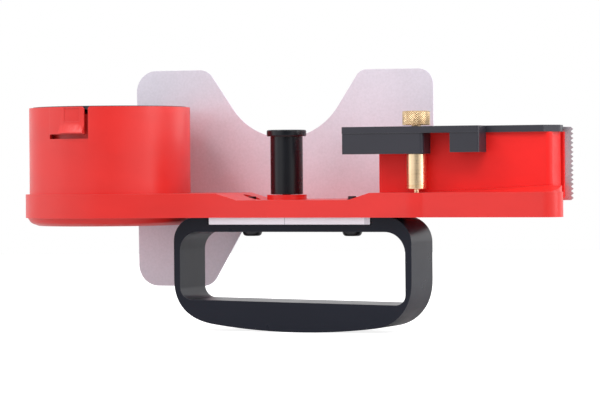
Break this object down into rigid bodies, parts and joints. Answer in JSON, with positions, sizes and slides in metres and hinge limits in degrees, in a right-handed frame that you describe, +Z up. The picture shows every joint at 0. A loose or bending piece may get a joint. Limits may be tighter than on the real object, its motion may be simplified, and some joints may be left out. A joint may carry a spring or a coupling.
{
  "type": "drywall joint tape dispenser",
  "caption": "Hand-held drywall taping tool: round tape drum, guide roller, wedge-shaped compound box with plunger-locked lid, serrated cutter, loop handle and sheet guard.",
  "frame": {"origin": "where the guide roller's axis meets the plane of the tray's underside, which carries the handle", "axes": "+X towards the nose and cutter, +Y towards the back with the guard plate, +Z up along the roller's axis"},
  "size_m": [0.518, 0.1576, 0.2391],
  "materials": {
    "red_plastic": "satin moulded",
    "black_plastic": "satin moulded",
    "handle_black": "fine satin",
    "roller_black": "semi-gloss",
    "hub_grey": "matte",
    "brass": "turned and knurled",
    "aluminium": "milled satin",
    "plate": "fine satin",
    "blade_steel": "ground",
    "steel": "zinc plated",
    "black_steel": "black oxide",
    "rubber": "matte"
  },
  "bodies": {
    "frame": {"base_tray": "red_plastic", "drum_pan": "red_plastic", "tape_drum": "red_plastic", "reel_spindle": "steel", "spindle_knob": "black_plastic", "roller_axle": "black_steel", "handle_loop": "handle_black", "mount_bar": "aluminium", "handle_bolts": "black_steel", "nut_washers": "black_steel", "handle_nuts": "black_steel", "guard_plate": "plate", "plate_screws": "steel", "compound_box": "red_plastic", "hinge_pin": "steel", "gate_screws": "steel", "entry_wiper": "rubber", "cutter_blade": "blade_steel", "blade_clamp": "steel", "blade_screws": "steel", "drum_screws": "steel", "box_screws": "steel", "pan_screws": "steel", "drum_hinge_pin": "steel"},
    "tongue": {"snap_tongue": "red_plastic"},
    "drum_cover": {"drum_lid": "black_plastic"},
    "reel": {"tape_hub": "hub_grey"},
    "roller": {"guide_roller": "roller_black"},
    "box_cover": {"box_lid": "black_plastic", "plunger_barrel": "brass", "plunger_spring": "steel"},
    "plunger": {"plunger_pin": "brass", "plunger_knob": "brass"},
    "gate": {"exit_gate": "steel"}
  },
  "joints": [
    {"name": "tongue_flex", "type": "hinge", "parent": "frame", "child": "tongue", "pos_m": [-0.20222, -0.06778, 0.088], "axis": [0, 0, -1], "range_deg": [0, 8], "stiffness_Nm_per_rad": 2},
    {"name": "drum_lid_hinge", "type": "hinge", "parent": "frame", "child": "drum_cover", "pos_m": [-0.1762, 0.07, 0.097], "axis": [-1, 0, 0], "range_deg": [0, 88]},
    {"name": "reel_spin", "type": "hinge", "parent": "frame", "child": "reel", "pos_m": [-0.1762, 0, 0.05], "axis": [0, 0, 1], "continuous": true},
    {"name": "roller_spin", "type": "hinge", "parent": "frame", "child": "roller", "pos_m": [0, 0, 0.05], "axis": [0, 0, 1], "continuous": true},
    {"name": "box_lid_hinge", "type": "hinge", "parent": "frame", "child": "box_cover", "pos_m": [0.17841, 0.04149, 0.0765], "axis": [-0.9357, 0.3529, 0], "range_deg": [0, 95]},
    {"name": "plunger_pull", "type": "slide", "parent": "box_cover", "child": "plunger", "axis": [0, 0, 1], "range_m": [0, 0.006], "stiffness_N_per_m": 600, "springref_m": -0.004, "deforming": ["plunger_spring"]},
    {"name": "gate_slide", "type": "slide", "parent": "frame", "child": "gate", "axis": [0, 1, 0], "range_m": [-0.002, 0.0016]}
  ]
}
